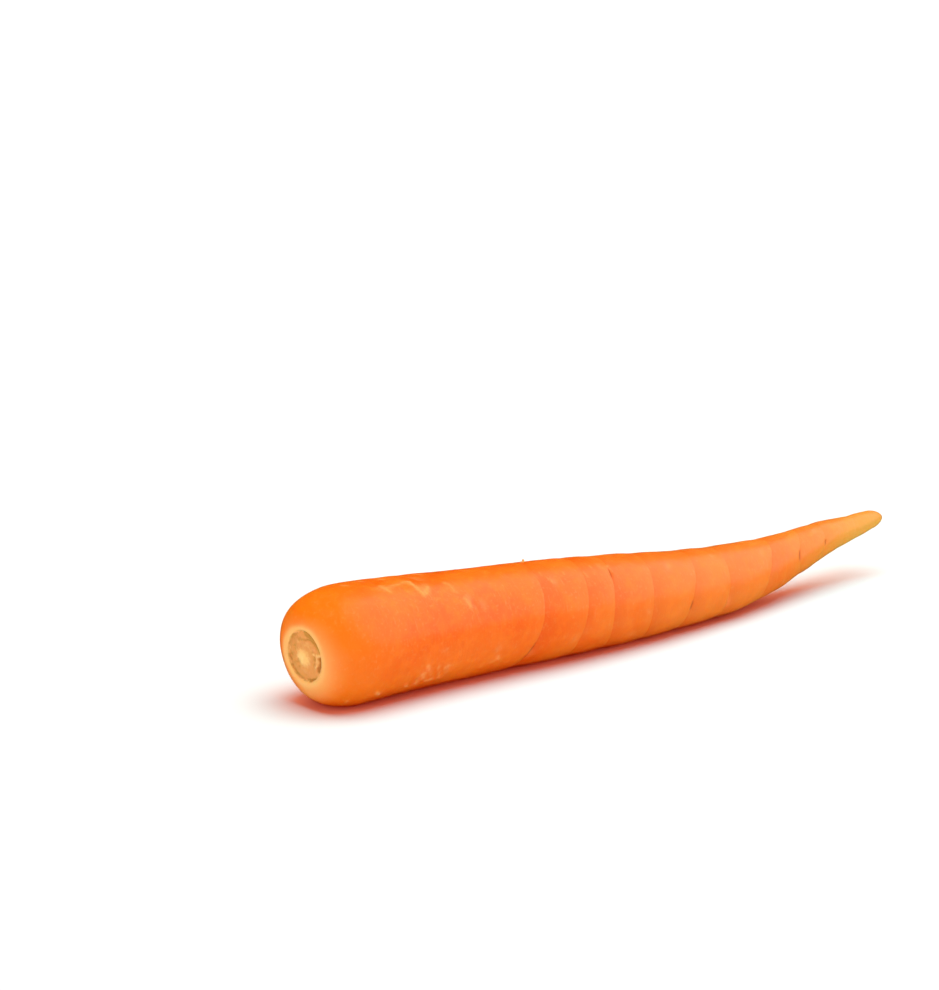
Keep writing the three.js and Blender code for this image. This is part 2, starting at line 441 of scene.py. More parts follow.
def axis_point(station):
    """The centres of the sections at these stations, as rows of x, y and z."""
    droop = CROWN_DROOP * np.maximum(0, 1 - station / DROOP_LENGTH) ** 2
    height = taper(station) - PRESSED_DEPTH + lift(station) - droop
    return np.stack([station, bend(station), height], -1)


def out_of_round(station, angle):
    """How far the body is out of round, as a share of its radius."""
    oval = CROWN_OVAL * np.exp(-station / CROWN_OVAL_LENGTH)
    total = oval * np.cos(2 * (angle - math.radians(CROWN_OVAL_ANGLE)))
    for share, lobes, twist in UNROUNDNESS:
        total = total + share * np.cos(lobes * angle + twist * station)
    return total


def between_creases(station):
    """The creases before and after each station, by number, and the share of the way between."""
    places = np.array([crease[0] for crease in CREASES])
    before = np.clip(np.searchsorted(places, station, side="right") - 1, 0, len(places) - 2)
    share = (station - places[before]) / (places[before + 1] - places[before])
    return before, before + 1, np.clip(share, 0, 1)


def crease_strength(k, angle):
    depths = np.array([crease[1] for crease in CREASES])
    deepest = np.radians([crease[4] for crease in CREASES])
    return depths[k] * (CREASE_MEAN + CREASE_SWING * np.cos(angle - deepest[k]))


def crease_relief(station, angle):
    """How far the skin is drawn in: a swell between each two constrictions."""
    before, after, share = between_creases(station)
    depth = (1 - share) * crease_strength(before, angle) + share * crease_strength(after, angle)
    return -depth * (2 * share - 1) ** 2


def crease_wander(station, angle):
    """How far along the root the lean and the bow of the constrictions carry the skin."""
    leans = np.array([crease[2] for crease in CREASES])
    bows = np.array([crease[3] for crease in CREASES])
    before, after, share = between_creases(station)
    share = smoothstep(share, 0, 1)
    lean = (1 - share) * leans[before] + share * leans[after]
    bow = (1 - share) * bows[before] + share * bows[after]
    return lean * np.sin(angle) + bow * np.cos(2 * angle)


def side_root_scars():
    """All four rows of scars, as (station, angle, length, tilt) with the angles in radians."""
    for station, angle, length, tilt in SIDE_ROOT_SCARS:
        yield station, math.radians(angle), length, math.radians(tilt)
        yield station + REPEAT_SHIFT, math.radians(angle + 180), length, math.radians(-tilt)


def scar_reach(station, angle, radius, scar):
    """The points in a scar's own frame: across its slit and along it, each 1 at its edge."""
    place, turned, length, tilt = scar
    along = station - place
    sideways = np.arctan2(np.sin(angle - turned), np.cos(angle - turned)) * radius
    across = (along * math.cos(tilt) - sideways * math.sin(tilt)) / SCAR_WIDTH
    lengthwise = (along * math.sin(tilt) + sideways * math.cos(tilt)) / (length / 2)
    return across, lengthwise


def scar_relief(station, angle, radius):
    total = np.zeros_like(station)
    for scar in side_root_scars():
        across, lengthwise = scar_reach(station, angle, radius, scar)
        slit = (SCAR_LIP * across**2 - 1) * np.exp(-(across**2))
        total += SCAR_DEPTH * np.exp(-(lengthwise**2)) * slit
    return total


def face_scale(radius, angle):
    """How much the lobes of the crown's scar widen or narrow a ring of its face."""
    reach = smoothstep(radius, *LOBES_GROW) * (1 - smoothstep(radius, SCAR_RADIUS, RIM_RADIUS))
    total = np.ones_like(radius)
    for share, lobes, peak in SCAR_LOBES:
        total += reach * share * np.cos(lobes * (angle - math.radians(peak)))
    return total


def face_station(radius, angle):
    """The depth of the crown's face, with its uneven moat and its pale lump."""
    moat = np.exp(-(((radius - MOAT_RADIUS) / MOAT_WIDTH) ** 2))
    deeper = MOAT_DEEPER * np.cos(angle - math.radians(MOAT_DEEP_SIDE))
    ripple = MOAT_RIPPLE * np.sin(MOAT_RIPPLES * angle)
    sideways = radius * np.cos(angle) - LUMP_PLACE[0]
    upwards = radius * np.sin(angle) - LUMP_PLACE[1]
    lump = LUMP_HEIGHT * np.exp(-(sideways**2 + upwards**2) / LUMP_RADIUS**2)
    return face_depth(radius) + moat * (deeper + ripple) - lump


def noise_field(points, seed):
    """Smooth noise from -1 to 1 at these points, with its own place for each seed."""
    shift = Vector([part * seed for part in SEED_SHIFT])
    return np.array([noise.noise(Vector(point) + shift) for point in points])


def turn_between(angle, centre):
    """The shorter turn from one angle to another, in radians."""
    return np.arctan2(np.sin(angle - centre), np.cos(angle - centre))


def crack_mask(station, angle):
    """The short cracks, 1 along the middle of each."""
    total = np.zeros_like(station)
    for k, middle, half in CRACKS:
        away = (station - CREASES[k][0]) / GROOVE_WIDTH
        turn = turn_between(angle, math.radians(middle)) / math.radians(half)
        total = np.maximum(total, np.exp(-(away**2) - turn**4))
    return total


def fleck_mask(station, angle, radius):
    """The pale curls, 1 along the middle of the strongest."""
    total = np.zeros_like(station)
    for strength, width, points in FLECKS + speck_rows():
        nearest = np.full_like(station, np.inf)
        for (start, start_angle), (end, end_angle) in zip(points, points[1:]):
            along = station - start
            sideways = turn_between(angle, math.radians(start_angle)) * radius
            length = end - start
            turned = math.radians(end_angle - start_angle) * radius
            squared = np.maximum(length**2 + turned**2, LEAST_SQUARE)
            share = np.clip((along * length + sideways * turned) / squared, 0, 1)
            away = (along - share * length) ** 2 + (sideways - share * turned) ** 2
            nearest = np.minimum(nearest, away)
        total = np.maximum(total, strength * np.exp(-nearest / width**2))
    return total


def speck_rows():
    """The small specks of every row, each like a fleck of one stroke."""
    specks = []
    weakest, strongest = SPECK_STRENGTHS
    rng = np.random.default_rng(SPECK_SEED)
    for number, start, end, start_angle, end_angle in SPECKS:
        for along, around, strong in rng.random((number, 3)).tolist():
            station = start + (end - start) * along
            angle = start_angle + (end_angle - start_angle) * around
            stroke_end = (station + SPECK_LEAN * around, angle - SPECK_TURN * (1 + strong))
            strength = weakest + (strongest - weakest) * strong
            specks.append((strength, SPECK_WIDTH, [(station, angle), stroke_end]))
    return specks


def hollow_mask(station, angle, radius):
    total = np.zeros_like(station)
    for strength, size, place, turned in HOLLOWS:
        sideways = turn_between(angle, math.radians(turned)) * radius
        away = (station - place) ** 2 + sideways**2
        total = np.maximum(total, strength * np.exp(-away / size**2))
    return total


def body_stations():
    """The stations of the body's rings, closer together on both sides of each constriction."""
    ends = [crease[0] for crease in CREASES]
    stations = []
    for start, end in zip(ends, ends[1:]):
        near = min(CREASE_REACH, (end - start) / 3)
        steps = max(1, round((end - start - 2 * near) / BODY_STEP))
        inner = np.linspace(start + near, end - near, steps + 1)
        edge = np.array(CREASE_RINGS) * near
        stations += [*(start + edge), *inner, *(end - edge[::-1]), end]
    return stations


def profile():
    """The turned profile as (station, radius), from the middle of the crown's face to the tip."""
    radii = RIM_RADIUS * np.linspace(0, 1, FACE_RINGS + 1)
    points = [(float(face_depth(radius)), radius) for radius in radii]
    for i in range(1, SHOULDER_RINGS + 1):
        turn = math.pi / 2 * i / SHOULDER_RINGS
        radius = RIM_RADIUS + (GREATEST_RADIUS - RIM_RADIUS) * math.sin(turn) ** SHOULDER_SHAPE
        points.append((SHOULDER_LENGTH * (1 - math.cos(turn)), radius))
    for station in body_stations():
        points.append((station, float(taper(station))))
    for i in range(1, TIP_RINGS + 1):
        turn = math.pi / 2 * i / TIP_RINGS
        station = TIP_START + (LENGTH - TIP_START) * math.sin(turn)
        points.append((station, float(taper(station)) * math.cos(turn) if i < TIP_RINGS else 0))
    return points


# ---- Shared helpers ----


def new_object(name, bm, material):
    """A shown object from a bmesh, at the origin, with smooth faces and one material."""
    mesh = bpy.data.meshes.new(name)
    bm.to_mesh(mesh)
    bm.free()
    mesh.polygons.foreach_set("use_smooth", [True] * len(mesh.polygons))
    mesh.materials.append(material)
    obj = bpy.data.objects.new(name, mesh)
    bpy.context.scene.collection.objects.link(obj)
    return obj


def linear(colour):
    """An sRGB colour of 0 to 255 as the shader's linear colour."""
    shares = [c / 255 for c in colour]
    return tuple(s / 12.92 if s <= 0.04045 else ((s + 0.055) / 1.055) ** 2.4 for s in shares) + (1,)


def srgb_property(name, description, colour):
    return FloatVectorProperty(
        name=name,
        description=description,
        subtype="COLOR",
        size=4,
        min=0,
        max=1,
        default=linear(colour),
    )


def strength_property(name, description, strength):
    return FloatProperty(name=name, description=description, default=strength, min=0)


# ---- What a user can change ----


class CarrotSkinSettings(bpy.types.PropertyGroup):
    """The fineness and the finish of the root's skin."""

    sides: IntProperty(
        name="Sides",
        description="Faces round the root",
        default=192,
        min=24,
        max=256,
    )
    wrinkles: FloatProperty(
        name="Wrinkles",
        description="Strength of the fine wrinkles",
        default=1.0,
        min=0,
        max=3,
    )
    roughness: FloatProperty(
        name="Roughness",
        description="Roughness of the moist skin",
        default=0.34,
        min=0,
        max=1,
        subtype="FACTOR",
    )


class CarrotColourSettings(bpy.types.PropertyGroup):
    """The colours of the root's zones."""

    skin: srgb_property("Skin", "The body's orange", (244, 100, 4))
    flush: srgb_property("Flush", "The lighter orange that mottles the body", (253, 121, 11))
    shoulder: srgb_property("Shoulder", "The yellower orange round the crown", (247, 120, 0))
    # Pale skin beside the rim, with a painted sheen on its lower -Y side.
    halo_and_sheen: srgb_property("Halo", "The paler skin beside the rim", (252, 170, 92))
    rim: srgb_property("Rim", "The pale rim round the cut crown", (254, 189, 110))
    scar: srgb_property("Scar", "The tan face where the leaves were cut", (228, 152, 80))
    pith: srgb_property("Pith", "The pale middle of the cut", (252, 200, 122))
    # The shade colour is the cut's olive-tan dry patches, and also painted shade at the scar's
    # edge, on its left side and in its low clods.
    shade: srgb_property("Shade", "The olive tan of the cut's dry patches", (196, 134, 54))
    # Painted shade in the crevices of the cut.
    crevice_shade: srgb_property("Crevice", "The brown of the crevices in the cut", (184, 110, 38))
    tip: srgb_property("Tip", "The yellow of the root's tip", (226, 170, 68))
    mark: srgb_property("Mark", "The scars of the side roots", (255, 176, 104))
    # Painted highlight before each constriction and painted shade after it.
    crease_highlight: srgb_property("Pale band", "The lighter skin before a constriction", (252, 121, 26))
    crease_shade: srgb_property("Deep band", "The deeper skin after a constriction", (236, 92, 4))
    # Painted shade along the cracks.
    crack_shade: srgb_property("Crack", "The dark of a crack in a constriction", (170, 68, 12))
    fleck: srgb_property("Fleck", "The pale curls of dry skin", (255, 172, 96))
    # Painted shade in the faint hollows.
    hollow_shade: srgb_property("Hollow", "The faint dark hollows", (214, 100, 16))


class CarrotStageSettings(bpy.types.PropertyGroup):
    """The floor, the lights and the camera."""

    floor: srgb_property("Floor", "The floor's colour", (225, 148, 116))
    floor_size: FloatProperty(
        name="Floor size",
        description="Side of the floor",
        default=12.0,
        min=1,
        unit="LENGTH",
    )
    sheen: strength_property("Sheen light", "Strength of the light that shows as a sheen", 1.9)
    key: strength_property("Key light", "Strength of the light from above", 1.8)
    fill: strength_property("Fill light", "Strength of the light from the camera's left", 2.0)
    ground: strength_property("Ground light", "Strength of the light on the floor alone", 15.6)
    surround: strength_property("Surround", "Strength of the nearly white surround", 0.3)
    lens: FloatProperty(
        name="Lens",
        description="Focal length",
        default=126.5,
        min=10,
        unit="CAMERA",
    )


# ---- Materials ----

# The sizes of the skin's patterns, in metres, and the noise between which each fades in.
RING_STRETCH = (1, 0.14, 0.14)
BLOTCH_SIZE = 0.014
BLOTCH_FADE = (0.35, 0.65)
SPECKLE_SIZE = 0.0022
SPECKLE_DETAIL = 3.0
SPECKLE_FADE = (0.4, 0.7)
SPECKLE_SHARE = 0.45
DASH_SIZE = 0.0005
DASH_FADE = (0.64, 0.76)
DASH_SHARE = 0.13
GRAIN_SIZE = 0.0005
GRAIN_SHARE = 0.35
FINE_WRINKLE_SIZE = 0.0007
BUMP_STRENGTH = 0.35
BUMP_DISTANCE = 0.0002
# The crumbs into which a mask breaks, as (size in metres, raggedness, softness).
CRUMBLED_MASKS = {
    "scar": (0.0011, 1.0, 0.35),
    "fleck": (0.0006, 0.9, 1.0),
    "pith": (0.0009, 0.9, 1.0),
    "shade": (0.0008, 0.6, 1.0),
    "crevice_shade": (0.0006, 0.5, 0.8),
}
CRUMB_DETAIL = 3.0
FLECK_SHARE = 0.6
GLOSSIER = 0.06
DULLER = 0.1
DRY_ROUGHNESS = 0.8
SPECULAR_LEVEL = 0.35
SUBSURFACE_WEIGHT = 0.4
SUBSURFACE_RADIUS = (1.0, 0.25, 0.08)
SUBSURFACE_SCALE = 0.006


def node(tree, kind, **values):
    """A new node with its settings, and its inputs given by name or number in a dict."""
    made = tree.nodes.new(kind)
    inputs = values.pop("inputs", {})
    for key, value in values.items():
        setattr(made, key, value)
    for key, value in inputs.items():
        if isinstance(value, bpy.types.NodeSocket):
            tree.links.new(value, made.inputs[key])
        else:
            made.inputs[key].default_value = value
    return made


def mix(tree, kind, sockets, values, output):
    """A mix of one kind of data, whose sockets are known by their numbers."""
    made = node(tree, "ShaderNodeMix", data_type=kind, inputs=dict(zip(sockets, values)))
    return made.outputs[output]


def mix_colour(tree, factor, a, b):
    return mix(tree, "RGBA", (0, 6, 7), (factor, a, b), 2)


def mix_value(tree, factor, a, b):
    return mix(tree, "FLOAT", (0, 2, 3), (factor, a, b), 0)


def maths(tree, operation, *values):
    made = node(tree, "ShaderNodeMath", operation=operation, inputs=dict(enumerate(values)))
    return made.outputs[0]


def noise_mask(tree, place, size, detail=2.0):
    """A noise with blotches of about this size, in metres."""
    inputs = {"Vector": place, "Scale": 1 / size, "Detail": detail}
    return node(tree, "ShaderNodeTexNoise", inputs=inputs).outputs["Fac"]


def range_of(tree, value, low, high):
    """0 up to the low value and 1 from the high one on, with a smooth step between."""
    inputs = {"Value": value, "From Min": low, "From Max": high, "To Min": 0.0, "To Max": 1.0}
    made = node(tree, "ShaderNodeMapRange", interpolation_type="SMOOTHSTEP", inputs=inputs)
    return made.outputs[0]


def mottle_group():
    """A node group with the skin's blotches, speckles and cross dashes, and its fine height."""
    tree = bpy.data.node_groups.new("Root mottle", "ShaderNodeTree")
    for name in ("Blotch", "Speckle", "Dash", "Height"):
        tree.interface.new_socket(name, in_out="OUTPUT", socket_type="NodeSocketFloat")
    leave = tree.nodes.new("NodeGroupOutput")
    place = node(tree, "ShaderNodeTexCoord").outputs["Object"]
    stretched = {"Vector": place, "Scale": RING_STRETCH}
    rings = node(tree, "ShaderNodeMapping", inputs=stretched).outputs[0]
    blotch = range_of(tree, noise_mask(tree, place, BLOTCH_SIZE), *BLOTCH_FADE)
    speckle = noise_mask(tree, place, SPECKLE_SIZE, SPECKLE_DETAIL)
    speckle = range_of(tree, speckle, *SPECKLE_FADE)
    dash = range_of(tree, noise_mask(tree, rings, DASH_SIZE, 1.0), *DASH_FADE)
    grain = maths(tree, "MULTIPLY", noise_mask(tree, place, GRAIN_SIZE), GRAIN_SHARE)
    height = maths(tree, "ADD", grain, noise_mask(tree, rings, FINE_WRINKLE_SIZE))
    values = {"Blotch": blotch, "Speckle": speckle, "Dash": dash, "Height": height}
    for name, value in values.items():
        tree.links.new(value, leave.inputs[name])
    return tree


def crumble_group():
    """A node group that breaks a soft mask into ragged crumbs."""
    tree = bpy.data.node_groups.new("Root crumble", "ShaderNodeTree")
    for name, default in (("Mask", 0.0), ("Size", 0.0006), ("Raggedness", 0.7), ("Softness", 0.6)):
        socket = tree.interface.new_socket(name, in_out="INPUT", socket_type="NodeSocketFloat")
        socket.default_value = default
    tree.interface.new_socket("Mask", in_out="OUTPUT", socket_type="NodeSocketFloat")
    entry = tree.nodes.new("NodeGroupInput")
    leave = tree.nodes.new("NodeGroupOutput")
    place = node(tree, "ShaderNodeTexCoord").outputs["Object"]
    scale = maths(tree, "DIVIDE", 1.0, entry.outputs["Size"])
    inputs = {"Vector": place, "Scale": scale, "Detail": CRUMB_DETAIL}
    crumbs = node(tree, "ShaderNodeTexNoise", inputs=inputs).outputs["Fac"]
    centred = maths(tree, "SUBTRACT", crumbs, 0.5)
    shift = maths(tree, "MULTIPLY", centred, entry.outputs["Raggedness"])
    half = maths(tree, "MULTIPLY", entry.outputs["Softness"], 0.5)
    low = maths(tree, "SUBTRACT", 0.5, half)
    high = maths(tree, "ADD", 0.5, half)
    ragged = range_of(tree, maths(tree, "ADD", entry.outputs["Mask"], shift), low, high)
    tree.links.new(ragged, leave.inputs["Mask"])
    return tree


def attribute(tree, name):
    return node(tree, "ShaderNodeAttribute", attribute_name=name).outputs["Fac"]


def skin_material(colours, settings):
    material = bpy.data.materials.new("carrot_skin")
    material.use_nodes = True
    tree = material.node_tree
    shader = tree.nodes["Principled BSDF"]
    mottle = node(tree, "ShaderNodeGroup", node_tree=mottle_group()).outputs
    crumble = crumble_group()
    crumbled = {}
    for name, (size, raggedness, softness) in CRUMBLED_MASKS.items():
        mask = attribute(tree, name)
        inputs = {"Mask": mask, "Size": size, "Raggedness": raggedness, "Softness": softness}
        group = node(tree, "ShaderNodeGroup", node_tree=crumble, inputs=inputs)
        crumbled[name] = group.outputs["Mask"]
    flushed = mix_value(tree, SPECKLE_SHARE, mottle["Blotch"], mottle["Speckle"])
    colour = mix_colour(tree, flushed, tuple(colours.skin), tuple(colours.flush))
    for mask, tint in (
        (attribute(tree, "crease_highlight"), colours.crease_highlight),
        (attribute(tree, "crease_shade"), colours.crease_shade),
        (maths(tree, "MULTIPLY", mottle["Dash"], DASH_SHARE), colours.mark),
        (attribute(tree, "shoulder"), colours.shoulder),
        (attribute(tree, "tip"), colours.tip),
        (attribute(tree, "hollow_shade"), colours.hollow_shade),
        (attribute(tree, "halo_and_sheen"), colours.halo_and_sheen),
        (attribute(tree, "rim"), colours.rim),
        (crumbled["scar"], colours.scar),
        (crumbled["pith"], colours.pith),
        (crumbled["shade"], colours.shade),
        (crumbled["crevice_shade"], colours.crevice_shade),
        (attribute(tree, "mark"), colours.mark),
        (maths(tree, "MULTIPLY", crumbled["fleck"], FLECK_SHARE), colours.fleck),
        (attribute(tree, "crack_shade"), colours.crack_shade),
    ):
        colour = mix_colour(tree, mask, colour, tuple(tint))
    tree.links.new(colour, shader.inputs["Base Color"])
    smoothest, roughest = settings.roughness - GLOSSIER, settings.roughness + DULLER
    moist = mix_value(tree, flushed, smoothest, roughest)
    dry = maths(tree, "MAXIMUM", crumbled["scar"], crumbled["fleck"])
    tree.links.new(mix_value(tree, dry, moist, DRY_ROUGHNESS), shader.inputs["Roughness"])
    inputs = {"Height": mottle["Height"], "Strength": BUMP_STRENGTH, "Distance": BUMP_DISTANCE}
    tree.links.new(node(tree, "ShaderNodeBump", inputs=inputs).outputs[0], shader.inputs["Normal"])
    shader.inputs["Specular IOR Level"].default_value = SPECULAR_LEVEL
    shader.inputs["Subsurface Weight"].default_value = SUBSURFACE_WEIGHT
    shader.inputs["Subsurface Radius"].default_value = SUBSURFACE_RADIUS
    shader.inputs["Subsurface Scale"].default_value = SUBSURFACE_SCALE
    return material


# ---- The root ----


def arc(angle, start, end, soft):
    """1 between two angles in degrees, fading out over the soft angle beyond each."""
    middle = math.radians((start + end) / 2)
    past = np.degrees(np.abs(turn_between(angle, middle))) - (end - start) / 2
    return 1 - smoothstep(past, 0, soft)


def face_relief(radius, angle):
    """The torn face of the cut: its height, the painted shade of its crevices, its olive-tan
    patches with painted shade, and its pale fibres with painted light on raised clods.
    """
    flat = np.stack([radius * np.cos(angle), radius * np.sin(angle), np.zeros_like(radius)], -1)
    carried = radius.copy()
    for strength, size, seed in WANDER:
        carried += strength * noise_field(flat / size, seed)
    crumbs = noise_field(flat / CRUMB_SIZE, CRUMB_SEED)
    clods = noise_field(flat / CLOD_SIZE, CLOD_SEED)
    marks = {}
    for name, (place, width, start, end, soft) in FACE_MARKS.items():
        if name == "flap":
            place = place + FLAP_SLANT * smoothstep(np.degrees(angle) % 360, *FLAP_ANGLES)
        marks[name] = np.exp(-(((carried - place) / width) ** 2)) * arc(angle, start, end, soft)
    for name, fade in BROKEN_MARKS.items():
        marks[name] *= (1 + smoothstep(clods, *fade)) / 2

    def total(shares):
        return sum(share * marks[name] for name, share in shares.items())

    inside = 1 - smoothstep(radius, *FACE_EDGE)
    torn = smoothstep(radius, *STUB_EDGE) * inside
    fibre = total(MARK_FIBRES)
    height = np.maximum(0, face_station(radius, angle) - FACE_LEVEL)
    height += torn * (CRUMB_HEIGHT * crumbs + CLOD_HEIGHT * clods + FIBRE_HEIGHT * fibre)
    height -= total(MARK_DEPTHS)
    crevice_shade = inside * np.clip(total(MARK_CREVICE_SHADES), 0, 1)
    # Painted shade in the low clods, and on the scar's left side and edge.
    shade = total(MARK_SHADES) + LOW_CLOD_SHADE * smoothstep(-clods - crumbs, *LOW_CLOD_SHADE_FADE)
    patches = [(carried, FLAP_PATCH), *((radius, patch) for patch in PAINTED_SHADE_ZONES)]
    for reach, (strength, low, high, start, end, soft) in patches:
        shade += strength * smoothstep(reach, low, high) * arc(angle, start, end, soft)
    # Pale fibres, and painted light on the raised clods.
    pale = FIBRE_SHARE * fibre + PALE_CLODS * smoothstep(clods + crumbs / 2, *PALE_CLODS_FADE)
    return height, crevice_shade, torn * np.clip(shade, 0, 1), torn * np.clip(pale, 0, 1)


def ring_masks(station, radius, angle):
    """The pale halo, brightened on its lower -Y side with a painted sheen, and the paler rim round
    the cut crown.
    """
    place = radius + RING_WOBBLE * np.sin(RING_WOBBLES * angle)
    for amount, start, end, soft in RING_CHANGES:
        place = place + amount * arc(angle, start, end, soft)
    outer = np.maximum(0, place - RING_RADIUS)
    on_shoulder = station < SHOULDER_LENGTH
    turned = HALO_MEAN + HALO_SWING * np.cos(angle - math.radians(HALO_SHEEN_SIDE))
    turned = np.clip(turned, HALO_LEAST, 1)
    fade = 1 - smoothstep(outer, 0, HALO_WIDTH + HALO_WIDER * turned)
    rim = RING_SHARE * np.exp(-((outer / RING_WIDTH) ** 2))
    return HALO_SHARE * turned * fade * on_shoulder, rim * on_shoulder


def scar_masks(radius, angle):
    """The scar of the cut with its ragged edge, and the pith in its middle."""
    ragged = radius.copy()
    for size, lobes, phase in RAGGED_EDGE:
        ragged += size * np.sin(lobes * angle + phase)
    sideways = radius * np.cos(angle) - LUMP_PLACE[0]
    upwards = radius * np.sin(angle) - LUMP_PLACE[1]
    pith = np.exp(-(((sideways / PITH_WIDTH) ** 2 + (upwards / PITH_HEIGHT) ** 2) ** 1.5))
    return 1 - smoothstep(ragged, *SCAR_FADE), PITH_SHARE * pith


def root_masks(station, radius, angle, on_face, crevice_shade, shade, ridge):
    """The share of each colour zone at each vertex."""
    mask = {}
    shoulder = np.where(on_face, 1, 1 - smoothstep(station, *SHOULDER_FADE))
    mask["shoulder"] = SHOULDER_SHARE * shoulder
    paler = sum(share * smoothstep(station, start, end) for share, start, end in TIP_FADES)
    # Painted light: the tip's yellow is stronger on its underside than on its top.
    loss = TIP_TOP_LOSS * np.sin(angle) * smoothstep(station, *TIP_TOP_FADE)
    mask["tip"] = paler * (1 - loss)
    mask["halo_and_sheen"], mask["rim"] = ring_masks(station, radius, angle)
    cut, pith = scar_masks(radius, angle)
    mask["scar"] = np.where(on_face, cut, 0)
    mask["pith"] = np.where(on_face, np.maximum(pith, PITH_FIBRES * ridge), 0)
    mask["crevice_shade"] = np.where(on_face, crevice_shade, 0)
    mask["shade"] = np.where(on_face, shade, 0)
    marks = np.zeros_like(station)
    for scar in side_root_scars():
        across, lengthwise = scar_reach(station, angle, radius, scar)
        marks = np.maximum(marks, np.exp(-(lengthwise**2) - (across / SCAR_MARK_WIDTH) ** 2))
    mask["mark"] = np.where(on_face, 0, SCAR_MARK_SHARE * marks)
    mask["fleck"] = np.where(on_face, 0, fleck_mask(station, angle, radius))
    # Painted shade in the hollows.
    mask["hollow_shade"] = np.where(on_face, 0, hollow_mask(station, angle, radius))
    before, after, share = between_creases(station)
    # Painted highlight before each constriction and painted shade after it.
    pale = np.maximum(0, crease_strength(after, angle) - BAND_LEAST)
    shaded = np.maximum(0, crease_strength(before, angle) - BAND_LEAST)
    mask["crease_highlight"] = CREASE_HIGHLIGHT_SHARE * pale * smoothstep(share, 0.5, 1)
    mask["crease_shade"] = CREASE_SHADE_SHARE * shaded * (1 - smoothstep(share, 0, 0.5))
    # Painted shade along the cracks.
    mask["crack_shade"] = CRACK_SHADE_SHARE * crack_mask(station, angle)
    return mask


def sort_faces(bm):
    """Puts the faces in the order of their vertices, which is the same each time."""
    bm.verts.index_update()
    count = len(bm.verts)

    def face_key(face):
        first, second, third = sorted(vert.index for vert in face.verts)[:3]
        return (first * count + second) * count + third

    bm.faces.sort(key=face_key)


def root_bmesh(sides):
    """The turned profile, spun round the X axis, with x as the station."""
    points = profile()
    bm = bmesh.new()
    ends = [bm.verts.new((points[0][0], 0, 0)), bm.verts.new((points[-1][0], 0, 0))]
    bmesh.ops.subdivide_edges(bm, edges=[bm.edges.new(ends)], cuts=len(points) - 2)
    chain = sorted(bm.verts, key=lambda vert: vert.co.x)
    for vert, (station, radius) in zip(chain, points):
        vert.co = (station, radius, 0)
    bmesh.ops.spin(
        bm,
        geom=bm.verts[:] + bm.edges[:],
        cent=(0, 0, 0),
        axis=(1, 0, 0),
        angle=2 * math.pi,
        steps=sides,
        use_merge=True,
    )
    bmesh.ops.remove_doubles(bm, verts=bm.verts[:], dist=MERGE_DISTANCE)
    bmesh.ops.recalc_face_normals(bm, faces=bm.faces[:])
    sort_faces(bm)
    return bm


def shape_root(mesh, wrinkles):
    """Gives the turned mesh its relief and its bend, in metres, and returns its masks."""
    turned = np.empty(len(mesh.vertices) * 3)
    mesh.vertices.foreach_get("co", turned)
    station, side, up = turned.reshape(-1, 3).T
    radius = np.hypot(side, up)
    angle = np.arctan2(up, side)
    on_face = (station < SHOULDER_LENGTH) & (radius <= RIM_RADIUS + RIM_MARGIN)

    turns = WRINKLE_TURNS * np.cos(angle), WRINKLE_TURNS * np.sin(angle)
    ring = np.stack([station / WRINKLE_LENGTH, *turns], -1)
    around = np.stack([station, radius * np.cos(angle), radius * np.sin(angle)], -1)
    fine = WRINKLE_HEIGHT * wrinkles * noise_field(ring, WRINKLE_SEED)
    soft = SWELL_HEIGHT * noise_field(around / SWELL_LENGTH, SWELL_SEED)
    soft += PIT_HEIGHT * noise_field(around / PIT_LENGTH, PIT_SEED)
    relief = radius * out_of_round(station, angle) + crease_relief(station, angle)
    relief += SCAR_SHARE * scar_relief(station, angle, radius) + fine + soft
    for k in range(1, len(CREASES) - 1):
        away = np.abs(station - CREASES[k][0])
        strength = crease_strength(np.full(len(station), k), angle)
        relief -= GROOVE_SHARE * strength * np.exp(-away / GROOVE_WIDTH)
    relief -= CRACK_DEPTH * crack_mask(station, angle)
    relief += FLECK_HEIGHT * fleck_mask(station, angle, radius)
    relief -= HOLLOW_DEPTH * hollow_mask(station, angle, radius)
    from_rim = smoothstep(radius, RIM_RADIUS, RIM_RADIUS + RELIEF_START)
    share = np.where(station < SHOULDER_LENGTH, from_rim, 1)
    share *= 1 - smoothstep(station, TIP_START + TIP_SMOOTH, LENGTH)

    at = station + crease_wander(station, angle)
    swelled = radius * taper(at) / taper(station)
    height, crevice_shade, shade, ridge = np.zeros((4, len(station)))
    face = np.nonzero(on_face)[0]
    height[face], crevice_shade[face], shade[face], ridge[face] = face_relief(radius[face], angle[face])
    skin = np.where(on_face, radius * face_scale(radius, angle), swelled + share * relief)
    at = np.where(on_face, face_station(radius, angle) - height, at)

    base = np.where(on_face, station, at)
    centre = axis_point(base)
    along = axis_point(base + SECTION_STEP) - axis_point(base - SECTION_STEP)
    along /= np.linalg.norm(along, axis=1)[:, None]
    across = np.cross((0, 0, 1), along)
    across /= np.linalg.norm(across, axis=1)[:, None]
    upward = np.cross(along, across)
    place = centre + along * (at - base)[:, None]
    place += across * (skin * np.cos(angle))[:, None] + upward * (skin * np.sin(angle))[:, None]
    place[:, 2] = np.maximum(place[:, 2], 0)
    middle = (place[:, :2].min(0) + place[:, :2].max(0)) / 2
    mesh["middle"] = middle.tolist()
    place[:, :2] -= middle
    mesh.vertices.foreach_set("co", (place * MM).ravel())
    return root_masks(station, radius, angle, on_face, crevice_shade, shade, ridge)


